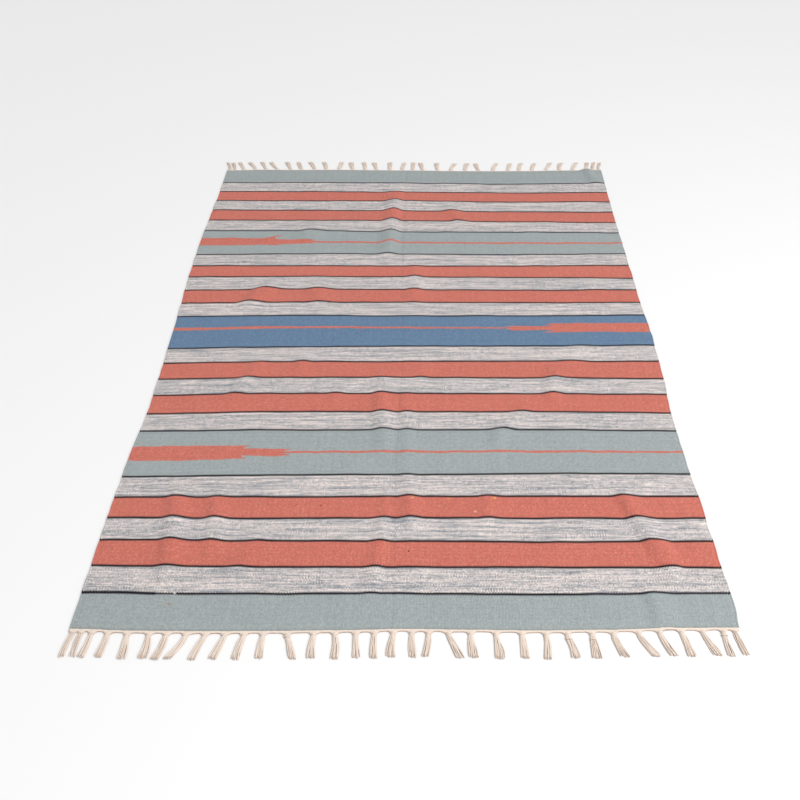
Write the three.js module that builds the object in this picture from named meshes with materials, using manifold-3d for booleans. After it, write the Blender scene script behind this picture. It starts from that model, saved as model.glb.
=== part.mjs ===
// A flat-woven striped rug with a knotted fringe at each end, lying on a floor.
// Millimetres. +X runs across the rug along the stripes, +Y along its length, +Z up.
// The origin is on the floor under the middle of the rug. The near end is at -Y.
import * as THREE from "three";
import { mergeVertices } from "three/addons/utils/BufferGeometryUtils.js";
import Module from "manifold-3d";

const wasm = await Module();
wasm.setup();

// Driving dimensions
const WIDTH = 1200; // selvedge to selvedge
const LENGTH = 1800; // first to last row of weft, without the fringe
const THICK = 3; // the woven cloth
const GAP = 0.3; // between pieces that touch
const ACROSS = 48; // steps of the cloth's surface across the rug
const ALONG = 28; // steps of the cloth's surface along the rug

// The fringe: a narrow band of bare warps, then one tassel for each bunch of warps
const BAND = 8; // depth of the band that joins the bunches
const BAND_THICK = 2.8;
const KNOT_STEPS = 2; // from the band, where the warps gather, to the knot and to its end
const KNOT = [
  { out: 5, wide: 19, tall: 2.8 },
  { out: 11, wide: 11, tall: 7 },
  { out: 16, wide: 12, tall: 5.2 },
];
const KNOT_SIDE = 0.78; // height of a knot's sides, as a share of its middle
const KNOT_LEAN = 0.15; // share of a tassel's lean that its knot already has
const LOCKS = 4; // locks of yarn in each tassel, three-sided and flat on the floor
const LOCK_STEPS = 2;
const LOCK_ROOT = 14; // where the locks begin, inside the knot
const LOCK_SPREAD = 4.2; // the outer locks from the tassel's middle, at the knot
const TIP_ROUND = 3; // how much shorter a tassel is at its sides
const TIP_PEAK = 0.3; // its longest lock, from -1 at the left to 1 at the right
const KNOT_DROP = 0.5; // share of the cloth's height over the floor that a knot comes down by
const LOCK = [
  { wide: 2.5, tall: 3.2 },
  { wide: 2.6, tall: 3 },
  { wide: 2.4, tall: 2.2 },
];

// How far the selvedges stand out from a straight line, by distance from the near end
const SELVEDGES = [
  { at: 0, left: 3.5, right: 6 },
  { at: 50, left: 4, right: 10 },
  { at: 150, left: 4.5, right: 7.5 },
  { at: 300, left: 4, right: 5 },
  { at: 450, left: 2.5, right: 0 },
  { at: 600, left: -5, right: -1 },
  { at: 750, left: -4, right: 7 },
  { at: 900, left: -1, right: 9.5 },
  { at: 1050, left: 4, right: 6 },
  { at: 1200, left: 8.5, right: 6 },
  { at: 1350, left: 9.5, right: 6 },
  { at: 1500, left: 6, right: 5 },
  { at: 1650, left: 2.5, right: 7 },
  { at: 1800, left: 2.5, right: 9 },
];

// How far the two ends stand out from a straight line, by distance from the left selvedge
const ENDS = [
  { at: 0, near: -3.5, far: 1 },
  { at: 120, near: 1, far: 5 },
  { at: 240, near: 2, far: 3.5 },
  { at: 360, near: 1.5, far: 5 },
  { at: 480, near: 0, far: 2 },
  { at: 600, near: -3, far: 0 },
  { at: 720, near: -1, far: -4 },
  { at: 840, near: 0.5, far: -5 },
  { at: 960, near: -1, far: -4.5 },
  { at: 1080, near: -5, far: 0 },
  { at: 1200, near: -6, far: 3 },
];

// Low ridges left by folding: crest line from one point to another, reach to its left and right, height
const RIDGE_ENDS = 1.25; // over 1, a ridge keeps its full height along its middle and falls at its ends
const RIDGES = [
  { x: -452, y: -815, toX: -482, toY: -505, left: 28, right: 42, rise: 7.5 },
  { x: -380, y: -740, toX: -394, toY: -540, left: 25, right: 36, rise: 6.5 },
  { x: -340, y: -800, toX: -270, toY: -640, left: 30, right: 30, rise: 3 },
  { x: -66, y: -870, toX: -40, toY: -590, left: 30, right: 30, rise: 4.5 },
  { x: 12, y: -700, toX: 2, toY: -480, left: 26, right: 30, rise: 6.5 },
  { x: 164, y: -670, toX: 170, toY: -530, left: 26, right: 30, rise: 4 },
  { x: 508, y: -785, toX: 426, toY: -505, left: 22, right: 46, rise: 8.5 },
  { x: 524, y: -800, toX: 505, toY: -670, left: 30, right: 18, rise: 4.5 },
  { x: 468, y: -905, toX: 458, toY: -790, left: 20, right: 50, rise: 5.5 },
  { x: -48, y: -470, toX: -72, toY: -130, left: 30, right: 36, rise: 6.5 },
  { x: 0, y: -520, toX: -4, toY: -200, left: 24, right: 26, rise: 3.5 },
  { x: 24, y: -230, toX: 34, toY: -110, left: 26, right: 26, rise: 3.5 },
  { x: 185, y: -420, toX: 240, toY: -300, left: 30, right: 32, rise: 6 },
  { x: 240, y: -340, toX: 284, toY: -240, left: 30, right: 30, rise: 3.5 },
  { x: 330, y: -290, toX: 352, toY: -130, left: 34, right: 34, rise: 6.5 },
  { x: 352, y: -180, toX: 450, toY: -20, left: 45, right: 50, rise: 3.5 },
  { x: -180, y: -270, toX: -160, toY: -190, left: 26, right: 28, rise: 3 },
  { x: -425, y: -280, toX: -350, toY: -90, left: 28, right: 34, rise: 5 },
  { x: -262, y: -160, toX: -256, toY: -50, left: 28, right: 28, rise: 4 },
  { x: -452, y: 100, toX: -360, toY: 265, left: 34, right: 56, rise: 8 },
  { x: -232, y: 100, toX: -262, toY: 280, left: 42, right: 52, rise: 5 },
  { x: 4, y: 120, toX: 14, toY: 360, left: 26, right: 34, rise: 4.5 },
  { x: -66, y: 320, toX: -50, toY: 800, left: 42, right: 31, rise: 9.5 },
  { x: -330, y: 455, toX: -270, toY: 575, left: 30, right: 60, rise: 6 },
  { x: 152, y: 520, toX: 100, toY: 700, left: 34, right: 40, rise: 5 },
  { x: 548, y: 960, toX: 584, toY: 800, left: 26, right: 26, rise: 7 },
];

// The tassels of each end: place from the left selvedge, sideways lean and half spread of the tips
const NEAR_TASSELS = [
  { at: 8, lean: -6, fan: 5 },
  { at: 23, lean: -1, fan: 5 },
  { at: 42, lean: -6, fan: 5.5 },
  { at: 71, lean: -5, fan: 6 },
  { at: 106, lean: 0, fan: 6.5 },
  { at: 145, lean: -2, fan: 7 },
  { at: 176, lean: -12, fan: 6 },
  { at: 211, lean: -25, fan: 5.5 },
  { at: 245, lean: -16, fan: 5.5 },
  { at: 280, lean: -14, fan: 6 },
  { at: 314, lean: -8, fan: 6.5 },
  { at: 348, lean: -2, fan: 6 },
  { at: 391, lean: 15, fan: 5.5 },
  { at: 438, lean: -2, fan: 6.5 },
  { at: 476, lean: 3, fan: 6 },
  { at: 513, lean: 3, fan: 6 },
  { at: 546, lean: 1, fan: 5.5 },
  { at: 580, lean: -3, fan: 6.5 },
  { at: 613, lean: 3, fan: 6 },
  { at: 643, lean: -8, fan: 5.5 },
  { at: 678, lean: 19, fan: 6.5 },
  { at: 718, lean: 4, fan: 6.5 },
  { at: 763, lean: 4, fan: 7 },
  { at: 809, lean: 3, fan: 6.5 },
  { at: 852, lean: -1, fan: 6 },
  { at: 890, lean: 9, fan: 6.5 },
  { at: 934, lean: 3, fan: 7 },
  { at: 972, lean: 16, fan: 6.5 },
  { at: 1017, lean: 24, fan: 6 },
  { at: 1055, lean: 16, fan: 6.5 },
  { at: 1094, lean: 9, fan: 6 },
  { at: 1132, lean: 19, fan: 6 },
  { at: 1169, lean: 3, fan: 5.5 },
  { at: 1190, lean: 8, fan: 5 },
];
const FAR_TASSELS = [
  { at: 8, lean: -14, fan: 5 },
  { at: 24, lean: -12, fan: 5 },
  { at: 53, lean: -20, fan: 5.5 },
  { at: 90, lean: -25, fan: 5.5 },
  { at: 124, lean: -19, fan: 6 },
  { at: 160, lean: -25, fan: 5.5 },
  { at: 204, lean: -18, fan: 6 },
  { at: 238, lean: -15, fan: 6 },
  { at: 281, lean: -20, fan: 6 },
  { at: 317, lean: -11, fan: 6.5 },
  { at: 358, lean: 6, fan: 6 },
  { at: 402, lean: -8, fan: 6.5 },
  { at: 442, lean: -6, fan: 6 },
  { at: 479, lean: -9, fan: 6 },
  { at: 522, lean: 0, fan: 6.5 },
  { at: 562, lean: 6, fan: 5.5 },
  { at: 595, lean: 2, fan: 5.5 },
  { at: 627, lean: -7, fan: 6 },
  { at: 675, lean: 0, fan: 6.5 },
  { at: 717, lean: 13, fan: 6 },
  { at: 763, lean: 8, fan: 6.5 },
  { at: 807, lean: -8, fan: 6.5 },
  { at: 852, lean: 15, fan: 6 },
  { at: 900, lean: 10, fan: 6.5 },
  { at: 936, lean: 11, fan: 6.5 },
  { at: 977, lean: 12, fan: 6.5 },
  { at: 1023, lean: 18, fan: 6 },
  { at: 1066, lean: 11, fan: 6.5 },
  { at: 1108, lean: 20, fan: 6 },
  { at: 1151, lean: 10, fan: 5.5 },
  { at: 1174, lean: 10, fan: 5 },
  { at: 1192, lean: 12, fan: 5 },
];
const REACHES = [61, 58, 60, 56, 59.5, 57, 61, 58.5]; // tips from the cloth's edge, used in turn

// A column of a table at a place between its rows, along a smooth curve
function along(rows, column, at) {
  const next = Math.max(1, rows.findIndex((row) => row.at >= at));
  const [a, b] = [rows[next - 1], rows[next]];
  const share = THREE.MathUtils.smoothstep(at, a.at, b.at);
  return THREE.MathUtils.lerp(a[column], b[column], share);
}

const leftEdge = (v) => -WIDTH / 2 - along(SELVEDGES, "left", v * LENGTH);
const rightEdge = (v) => WIDTH / 2 + along(SELVEDGES, "right", v * LENGTH);
const nearEdge = (u) => -LENGTH / 2 - along(ENDS, "near", u * WIDTH);
const farEdge = (u) => LENGTH / 2 + along(ENDS, "far", u * WIDTH);

// Height of the cloth's underside over the floor
function lift(x, y) {
  let height = 0;
  for (const ridge of RIDGES) {
    const run = new THREE.Vector2(ridge.toX - ridge.x, ridge.toY - ridge.y);
    const point = new THREE.Vector2(x - ridge.x, y - ridge.y);
    const share = point.dot(run) / run.lengthSq();
    const aside = (point.cross(run) / run.length()) * Math.sign(run.y);
    const reach = aside < 0 ? ridge.left : ridge.right;
    if (share <= 0 || share >= 1 || Math.abs(aside) >= reach) continue;
    const crown = Math.cos((aside / reach) * (Math.PI / 2)) ** 2;
    const taper = Math.min(1, Math.sin(share * Math.PI) * RIDGE_ENDS);
    height += ridge.rise * crown * taper;
  }
  return height;
}

// A unit shape whose points are each moved to where place() says
function shaped(geometry, place) {
  const points = geometry.getAttribute("position");
  for (let i = 0; i < points.count; i++) {
    points.setXYZ(i, ...place(points.getX(i), points.getY(i), points.getZ(i)));
  }
  geometry.deleteAttribute("normal");
  geometry.deleteAttribute("uv");
  return mergeVertices(geometry, 1e-4);
}

function unitBox(across, out) {
  return new THREE.BoxGeometry(1, 1, 1, across, out, 1).translate(0.5, 0.5, 0.5);
}

function unitPrism(steps) {
  const corners = [new THREE.Vector2(0, 0), new THREE.Vector2(1, 0), new THREE.Vector2(0.5, 1)];
  return new THREE.ExtrudeGeometry(new THREE.Shape(corners), { depth: 1, steps, bevelEnabled: false });
}

function solidOf(geometry) {
  const shape = { numProp: 3 };
  shape.vertProperties = new Float32Array(geometry.getAttribute("position").array);
  shape.triVerts = new Uint32Array(geometry.index.array);
  return new wasm.Manifold(new wasm.Mesh(shape));
}

function geometryOf(solid) {
  const mesh = solid.getMesh();
  const geometry = new THREE.BufferGeometry();
  geometry.setAttribute("position", new THREE.BufferAttribute(mesh.vertProperties, 3));
  geometry.setIndex(new THREE.BufferAttribute(mesh.triVerts, 1));
  return geometry;
}

// The woven cloth: one thin sheet that follows the ridges on both faces
function cloth() {
  return shaped(unitBox(ACROSS, ALONG), (u, v, w) => {
    const x = THREE.MathUtils.lerp(leftEdge(v), rightEdge(v), u);
    const y = THREE.MathUtils.lerp(nearEdge(u), farEdge(u), v);
    return [x, y, lift(x, y) + w * THICK];
  });
}

// One end of the cloth: side is -1 at the near end, which is the far end turned half round
function endOf(side) {
  const edge = side < 0 ? nearEdge : farEdge;
  const v = side < 0 ? 0 : 1;
  const x = (u) => THREE.MathUtils.lerp(leftEdge(v), rightEdge(v), u);
  const y = (u, out) => edge(u) + side * out;
  return { side, x, y, height: (u) => lift(x(u), edge(u)) };
}

function band(end) {
  const box = shaped(unitBox(ACROSS, 1), (s, t, w) => {
    const u = end.side < 0 ? 1 - s : s;
    return [end.x(u), end.y(u, GAP + t * BAND), end.height(u) + w * BAND_THICK];
  });
  return solidOf(box);
}

// The gathered warps and the knot that they are tied in
function knot(end, tassel) {
  const u = tassel.at / WIDTH;
  const box = shaped(unitBox(2, KNOT_STEPS), (s, t, w) => {
    const row = KNOT[Math.round(t * KNOT_STEPS)];
    const x = end.x(u) + end.side * (s - 0.5) * row.wide + tassel.lean * t * KNOT_LEAN;
    const crown = s === 0.5 ? 1 : KNOT_SIDE;
    const floor = end.height(u) * (1 - t * KNOT_DROP);
    return [x, end.y(u, row.out), floor + w * row.tall * crown];
  });
  return solidOf(box);
}

// One lock of a tassel, from inside the knot to its cut tip
function lock(end, tassel, reach, number) {
  const u = tassel.at / WIDTH;
  const share = (2 * number) / (LOCKS - 1) - 1; // from -1 at one side of the tassel to 1 at the other
  const tip = reach - TIP_ROUND * Math.abs(share - TIP_PEAK);
  const prism = shaped(unitPrism(LOCK_STEPS), (s, w, t) => {
    const row = LOCK[Math.round(t * LOCK_STEPS)];
    const spread = THREE.MathUtils.lerp(LOCK_SPREAD, tassel.fan, t) * share;
    const lean = tassel.lean * THREE.MathUtils.lerp(KNOT_LEAN, 1, t);
    const x = end.x(u) + spread + lean - end.side * (s - 0.5) * row.wide;
    const floor = t === 0 ? end.height(u) * (1 - KNOT_DROP) : 0;
    return [x, end.y(u, THREE.MathUtils.lerp(LOCK_ROOT, tip, t)), floor + w * row.tall];
  });
  return solidOf(prism);
}

function fringe(side, tassels) {
  const end = endOf(side);
  const pieces = [band(end)];
  tassels.forEach((tassel, i) => {
    pieces.push(knot(end, tassel));
    for (let number = 0; number < LOCKS; number++) {
      pieces.push(lock(end, tassel, REACHES[i % REACHES.length], number));
    }
  });
  return geometryOf(wasm.Manifold.union(pieces));
}

const wovenCotton = new THREE.MeshStandardMaterial({ color: 0xc98f84, roughness: 0.95, metalness: 0 });
const bareWarp = new THREE.MeshStandardMaterial({ color: 0xe4d4c5, roughness: 0.95, metalness: 0 });

function piece(name, geometry, material) {
  const mesh = new THREE.Mesh(geometry, material);
  mesh.name = name;
  return mesh;
}

const rug = new THREE.Group();
rug.add(piece("woven_cloth", cloth(), wovenCotton));
rug.add(piece("near_fringe", fringe(-1, NEAR_TASSELS), bareWarp));
rug.add(piece("far_fringe", fringe(1, FAR_TASSELS), bareWarp));

export default rug;
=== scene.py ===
"""A hand-woven striped rug with bare warp tassels: its looks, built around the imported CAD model."""

import math
from functools import partial
from types import SimpleNamespace

import bpy
import numpy as np
from bpy.props import FloatProperty, FloatVectorProperty, IntProperty, PointerProperty
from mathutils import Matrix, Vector


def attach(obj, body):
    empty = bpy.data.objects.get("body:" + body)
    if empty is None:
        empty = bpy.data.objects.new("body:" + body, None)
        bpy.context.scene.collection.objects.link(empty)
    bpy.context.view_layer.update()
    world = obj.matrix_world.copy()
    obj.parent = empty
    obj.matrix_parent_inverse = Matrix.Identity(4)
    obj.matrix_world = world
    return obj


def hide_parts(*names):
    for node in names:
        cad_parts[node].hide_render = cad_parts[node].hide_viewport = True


bl_info = {
    "name": "Kilim rug",
    "version": (1, 0, 0),
    "blender": (4, 5, 0),
    "location": "3D View > Sidebar > Rug",
    "description": "Builds a flat-woven striped rug and its tassels around the packed CAD model",
    "category": "Add Mesh",
}

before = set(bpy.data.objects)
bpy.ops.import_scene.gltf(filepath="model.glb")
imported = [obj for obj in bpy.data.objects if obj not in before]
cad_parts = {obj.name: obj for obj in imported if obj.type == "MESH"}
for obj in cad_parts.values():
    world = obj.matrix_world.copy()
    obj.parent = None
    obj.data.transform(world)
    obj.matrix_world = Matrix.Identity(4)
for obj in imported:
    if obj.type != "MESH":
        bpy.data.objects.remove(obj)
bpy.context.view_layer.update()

# Sizes are millimetres, unless a comment says metres. Places across start at the left selvedge, places
# along at the near end, and x and y at the middle of the rug, +X across it and +Y to its far end.
MM = 0.001
WIDTH = 1200  # selvedge to selvedge
LENGTH = 1800  # first to last row of weft
PICK = 1.2  # one row of weft, beaten down
CREASE = 578  # a fold line along the whole rug

# How far the selvedges stand out from a straight line: place along, left, right
SELVEDGES = np.array([
    (0, 3.5, 6),
    (50, 4, 10),
    (150, 4.5, 7.5),
    (300, 4, 5),
    (450, 2.5, 0),
    (600, -5, -1),
    (750, -4, 7),
    (900, -1, 9.5),
    (1050, 4, 6),
    (1200, 8.5, 6),
    (1350, 9.5, 6),
    (1500, 6, 5),
    (1650, 2.5, 7),
    (1800, 2.5, 9),
])

# How far the two ends stand out: place across, near end, far end
ENDS = np.array([
    (0, -3.5, 1),
    (120, 1, 5),
    (240, 2, 3.5),
    (360, 1.5, 5),
    (480, 0, 2),
    (600, -3, 0),
    (720, -1, -4),
    (840, 0.5, -5),
    (960, -1, -4.5),
    (1080, -5, 0),
    (1200, -6, 3),
])

END_BAND = 82  # the end bands take up the ends' unevenness, and the stripes beyond them don't

# Low ridges left by folding: crest line from x, y to x, y, reach to its left and right, height
RIDGES = (
    (-452, -815, -482, -505, 28, 42, 7.5),
    (-380, -740, -394, -540, 25, 36, 6.5),
    (-340, -800, -270, -640, 30, 30, 3),
    (-66, -870, -36, -550, 30, 20, 5),
    (12, -700, 2, -480, 26, 30, 5.2),
    (164, -670, 170, -530, 26, 30, 4),
    (508, -785, 426, -505, 22, 46, 8.5),
    (524, -800, 505, -670, 30, 18, 4.5),
    (468, -905, 458, -790, 20, 50, 5.5),
    (-48, -470, -72, -130, 30, 36, 6.5),
    (0, -520, -4, -200, 24, 26, 3.5),
    (24, -230, 34, -110, 26, 26, 3.5),
    (185, -420, 240, -300, 30, 32, 6),
    (240, -340, 284, -240, 30, 30, 3.5),
    (330, -290, 352, -130, 34, 34, 6.5),
    (352, -180, 450, -20, 45, 50, 3.5),
    (-180, -270, -160, -190, 26, 28, 3),
    (-425, -280, -350, -90, 28, 34, 5),
    (-262, -160, -256, -50, 28, 28, 4),
    (-452, 100, -360, 265, 34, 56, 8),
    (-232, 100, -262, 280, 42, 52, 5),
    (4, 120, 14, 360, 26, 34, 4.5),
    (-66, 320, -50, 800, 42, 31, 9.5),
    (-330, 455, -270, 575, 30, 60, 6),
    (152, 520, 100, 700, 34, 40, 5),
    (548, 960, 584, 800, 26, 26, 7),
)
RIDGE_ENDS = 1.25  # over 1, a ridge keeps its full height along its middle and falls at its ends

# The stripes, from the near end: where each one ends, its yarn, and how far its last row bows towards
# the far end, where the beating was uneven, at each of five places from selvedge to selvedge
SAGE, HEATHER, CORAL, BLUE = range(4)
STRIPES = (
    (82, SAGE, (3, -1, 0, -2, 1)),
    (146, HEATHER, (3, 1, -1, -1, -2)),
    (212, CORAL, (4, 0, 0, -3, 0)),
    (273, HEATHER, (2, -1, 1, -1, -1)),
    (334, CORAL, (-2, -1, 0, 1, 0)),
    (398, HEATHER, (-6, -1, 0, 3, 2)),
    (540, SAGE, (-3, 0, 1, 1, -3)),
    (602, HEATHER, (-7, 1, 0, 1, -4)),
    (667, CORAL, (-6, 2, 1, 0, -2)),
    (727, HEATHER, (-5, 1, 1, -1, -4)),
    (791, CORAL, (-7, -1, -1, 1, 0)),
    (851, HEATHER, (-9, -2, 1, 1, 5)),
    (985, BLUE, (-5, 1, -3, -2, 2)),
    (1044, HEATHER, (-4, 2, 1, -1, 0)),
    (1103, CORAL, (0, 5, 2, -1, 2)),
    (1169, HEATHER, (-1, 2, -1, -4, -8)),
    (1224, CORAL, (1, 1, -1, 0, 3)),
    (1286, HEATHER, (-2, 2, 0, -3, 2)),
    (1412, SAGE, (6, 5, -2, -4, -7)),
    (1476, HEATHER, (3, 2, -1, -7, -13)),
    (1534, CORAL, (7, 5, 1, -5, -7)),
    (1596, HEATHER, (4, 2, 2, -7, -4)),
    (1655, CORAL, (4, 2, -1, -6, -3)),
    (1715, HEATHER, (2, 3, -2, -9, -1)),
    (1800, SAGE, (0, 0, 0, 0, 0)),
)
BOWS = np.array([(0, 0, 0, 0, 0, 0), *((end, *bows) for end, _, bows in STRIPES)])
LINE = 2.75  # half depth of the black lines between stripes
LINE_STEP = 2  # how far a black line steps up and down from warp to warp

# Where the first black line is doubled, thinned and broken: from, to, and its half depth there
LINE_FAULTS = (
    (0, 138, 3.5),
    (138, 171, 2.1),
    (171, 175.5, 0),
)

# Stepped bars of coral weft in the wide bands, each a run between two places across: from, to, place
# along of its middle at each of them, and half its depth at each
BARS = (
    (0, 243, 468, 468, 21.5, 21.5),
    (243, 255, 486, 488, 3.6, 1),
    (243, 253, 450, 448, 3.6, 1),
    (243, 333, 468.5, 468.5, 11, 11),
    (333, 347, 476.5, 478.5, 3.2, 1),
    (333, 346, 460.5, 458.5, 3.2, 1),
    (333, 1200, 468.5, 468.5, 3.3, 3.3),
    (0, 330, 931, 933, 5.5, 4),
    (330, 843, 933, 932, 4.2, 3),
    (840, 856, 938, 936, 1, 3),
    (843, 856, 929, 926.5, 3.5, 7),
    (856, 952, 929.5, 929.5, 9.5, 9.5),
    (936, 952, 946.5, 945.5, 0.8, 2.6),
    (932, 952, 909, 912, 1.2, 3),
    (952, 1200, 930, 929.5, 20, 20.5),
    (0, 180, 1352, 1352, 19, 18.5),
    (180, 212, 1352, 1358, 18.5, 24.5),
    (212, 232, 1380, 1383, 3.6, 1),
    (212, 232, 1335, 1333, 3.6, 1),
    (212, 320, 1351, 1350, 13.5, 10),
    (320, 328, 1341.5, 1341, 2.6, 0.8),
    (320, 1200, 1350, 1350, 4.4, 4.2),
)
BAR_WAVER = 7  # how far a bar's edge may stray, in all

# Stray tufts of other yarn caught in the weave: places across and along, half width, colour
TUFTS = (
    (533, 335, 3.2, "#d98a3c"),
    (612, 326, 2.2, "#e0b48a"),
    (685, 329, 2.2, "#e39a4e"),
    (780, 326, 2.6, "#e8b650"),
    (739, 290, 2.2, "#e8c0a4"),
    (605, 186, 2.4, "#8a4038"),
    (426, 309, 2.2, "#8f4a42"),
    (168, 58, 2.6, "#a98f7c"),
)

# The rolled selvedge: distance in from its edge, height of the upper face and of the underside
SELVEDGE_ROLL = np.array([
    (0, 1.5, 1.5),
    (0.4, 2.55, 0.5),
    (1.2, 3.3, 0.12),
    (2.2, 3.5, 0),
    (3.3, 3.15, 0),
    (4.3, 2.55, 0),
    (5.3, 2.8, 0),
    (6.6, 3, 0),
])
STEP = 7.6  # the cloth's mesh, away from the selvedges

# How the cloth lies. Each kind of waves has its shortest and longest length, and a seed.
WAVES = 14  # waves added up for each kind
WANDER_WAVES = (70, 260, 11)
SCALLOP_WAVES = (35, 120, 13)
COCKLE_WAVES = (60, 240, 14)
SETTLED = 60  # from the ends, where the cloth lies flat, to where its waves have their full height
SCALLOP = 0.5  # how far a selvedge draws in and out
SCALLOP_REACH = 24
OTHER_SELVEDGE = 900.0  # where the right selvedge's waves are taken, apart from the left one's
COCKLE_LEVEL = 0.4  # how far below the waves' middle the floor lies, as a share of their height
COCKLE_TOP = 2
COCKLE_INSET = 20  # from a selvedge, where cockles and the fold die out, to their full height
FOLD_RISE = 0.7  # the cloth stands up on each side of the fold line
FOLD_HALF = 9
FOLD_REACH = 40

# The cloth's flat map, named OFBake: where each part of the cloth starts on it and how much it takes
MAP_ACROSS = (0.003, 0.994)
MAP_UPPER = (0.15, 0.845)
MAP_UNDER = (0.005, 0.12)
MAP_NEAR_END = (0.13, 0.004)
MAP_FAR_END = (0.138, 0.004)

FRINGE_INSET = 1.5  # a fringe stops this far inside each selvedge

# The strip of knotted warps at an end: distance out, height, and turn round it, a quarter being its top.
# The turn also sets the strip's painted tan shade, which darkens its front face and underside
HEADING_RIM = (
    (0.1, 0.25, 0.6),
    (0.1, 2.7, 0.45),
    (1.2, 3.1, 0.32),
    (2.5, 3.15, 0.26),
    (3.4, 2.85, 0.19),
    (4.2, 2.1, 0.02),
    (4.6, 1.1, -0.08),
    (4.2, 0.3, -0.2),
)
HEADING_PLACES = 601  # rings of points along a strip
HEADING_SWELL = 0.07  # how much a strip's depth varies, as a share of it
SWELL_WAVES = (25, 90)
SWELL_SEED = 20
CORNER = 9  # how far from a tassel's side a strip starts to deepen towards it
CORNER_LEAN = 0.25  # how much further for each millimetre of lean, on the side it leans away from
CORNER_HALF = 4  # half width of a tassel where a strip is deepest
CORNER_SWELL = 0.8  # how much deeper it is there, as a share
KNOT_SPACING = 5.2  # a strip has one knot for two warps
KNOT_RISE = 0.15
KNOT_WAVES = (7, 16)
KNOT_SEED = 22
HEADING_PLY = 40.0  # the own number of a strip's yarn, before its side is added

# The tassels: place across, sideways lean, half spread of the tips
NEAR_TASSELS = (
    (8, -6, 5),
    (23, -1, 5),
    (42, -6, 5.5),
    (71, -5, 6),
    (106, 0, 6.5),
    (145, -2, 7),
    (176, -12, 6),
    (211, -25, 5.5),
    (245, -16, 5.5),
    (280, -14, 6),
    (314, -8, 6.5),
    (348, -2, 6),
    (391, 15, 5.5),
    (438, -2, 6.5),
    (476, 3, 6),
    (513, 3, 6),
    (546, 1, 5.5),
    (580, -3, 6.5),
    (613, 3, 6),
    (643, -8, 5.5),
    (678, 19, 6.5),
    (718, 4, 6.5),
    (763, 4, 7),
    (809, 3, 6.5),
    (852, -1, 6),
    (890, 9, 6.5),
    (934, 3, 7),
    (972, 16, 6.5),
    (1017, 24, 6),
    (1055, 16, 6.5),
    (1094, 9, 6),
    (1132, 19, 6),
    (1169, 3, 5.5),
    (1190, 8, 5),
)
FAR_TASSELS = (
    (8, -14, 5),
    (24, -12, 5),
    (53, -20, 5.5),
    (90, -25, 5.5),
    (124, -19, 6),
    (160, -25, 5.5),
    (204, -18, 6),
    (238, -15, 6),
    (281, -20, 6),
    (317, -11, 6.5),
    (358, 6, 6),
    (402, -8, 6.5),
    (442, -6, 6),
    (479, -9, 6),
    (522, 0, 6.5),
    (562, 6, 5.5),
    (595, 2, 5.5),
    (627, -7, 6),
    (675, 0, 6.5),
    (717, 13, 6),
    (763, 8, 6.5),
    (807, -8, 6.5),
    (852, 15, 6),
    (900, 10, 6.5),
    (936, 11, 6.5),
    (977, 12, 6.5),
    (1023, 18, 6),
    (1066, 11, 6.5),
    (1108, 20, 6),
    (1151, 10, 5.5),
    (1174, 10, 5),
    (1192, 12, 5),
)
REACHES = (62, 60.5, 61.5, 59.5, 61, 60, 62, 60.5)  # tips from the cloth's end, used in turn
TASSEL_SEED = 30

# A loose knot shows on a few near tassels: the tassel's place, and the knot's distance out
LOOSE_KNOTS = {391: 13, 890: 19, 934: 21, 1169: 17}
LOOSE_KNOT_RADII = (5.2, 4.6)

# The two fringes: end, which way it points, tassels, loose knots
FRINGES = (
    ("near", -1, NEAR_TASSELS, LOOSE_KNOTS),
    ("far", 1, FAR_TASSELS, {}),
)

# The warp that ties each tassel, and a loose knot
TIE_OUT = 8.6
TIE_RADIUS = 4
TIE_TURNS = 1.6
TIE_POINTS = 20
TIE_HEIGHT = 2.3
TIE_PITCH = 2.4
TIE_SLANT = (0.2, 0.6)

# The warps of a tassel, gathered from the cloth's end to its neck, and hanging from there in two
# layers. The left one's share is -1 and the right one's 1.
FEWEST_WARPS = 7
WARP_SPACING = 2.6
WARP_SIDES = 6
GATHER_POINTS = 7
ROOT_HALF = 9  # half width of a tassel at the cloth's end
ROOT_LEAN = 0.14  # how much wider it starts for each millimetre of lean, where it leans away from
NECK_HALF = 3.9
NECK_LEAN = 0.03  # share of its lean that a tassel has at its neck
NECK_CROWN = 2.6  # how far the middle warps stand over the outer ones there
LEAN_CURVE = 1.15
FAN_SPREAD = (1, 1.35)
FAN_CURVE = 0.8
BEND = 2  # how far a tassel's middle bows aside
CLUMPING = 0.16  # how far its warps draw together, as a share of its half width
CLUMP_TURNS = 7
WARP_WAVER = 0.5
WAVER_TURNS = (1, 2.4)
LONGEST_SHARE = 0.3
CUT_SLANT = 1.5
CUT_RAGGED = 1.3
TIP_SHARE = 0.55  # thickness of a cut tip, as a share of its warp's
LOW_REST = 0.52  # height over the floor of the lower layer, as a share of a warp's thickness
LAYER_REST = 0.85  # how much higher the upper layer rests, at most
LAYER_SPREAD = (0.5, 1)
FALL = 1.6  # a warp rests from here on, as one part in 1.6 of its way
FALL_CURVE = 0.7

# Pattern sizes in the weft: millimetres across the rug, and picks along it
DASHES = (56, 0.6)
SPECKS = (8, 0.19)
FLECKS = (5, 0.14)

# Pattern sizes in the cloth: millimetres across and along
BANDS = (380, 6)
CLOUDS = (80, 60)
MOTTLE = (12, 5)
WAVER = (60, 60)
# Half width of the line of painted shade along the fold
CREASE_HALF = 1.6
SAME = 0.1  # two yarn numbers this near are the same

# A bare warp's top, as turns round it from its side, where its painted shade is least, and the sizes of
# its pattern
TOP_TURN = 0.25
TWIST = 9  # one turn of its two plies
PLY_MOTTLE = (1, 6, 1)  # turns round it, millimetres along it

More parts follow.
